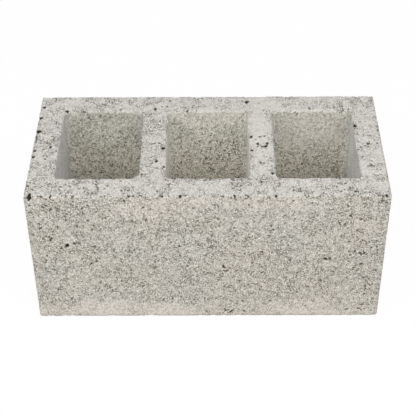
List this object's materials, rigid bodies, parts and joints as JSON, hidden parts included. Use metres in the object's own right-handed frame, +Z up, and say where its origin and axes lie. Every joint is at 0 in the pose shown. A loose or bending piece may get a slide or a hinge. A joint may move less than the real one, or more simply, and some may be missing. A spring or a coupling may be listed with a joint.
{
  "type": "hollow concrete block",
  "caption": "Hollow dry-cast concrete block for walling: plain rectangular faces, thick shells and webs, and open rounded-corner cores running through from bed face to bed face.",
  "frame": {"origin": "middle of the bottom bed face, on the surface the block stands on", "axes": "+X along the length, +Y across the width to the back face shell, +Z up out of the top bed face"},
  "size_m": [0.4, 0.19, 0.185],
  "materials": {
    "concrete": "matte"
  },
  "bodies": {
    "root": {"hollow_block": "concrete"}
  },
  "joints": []
}
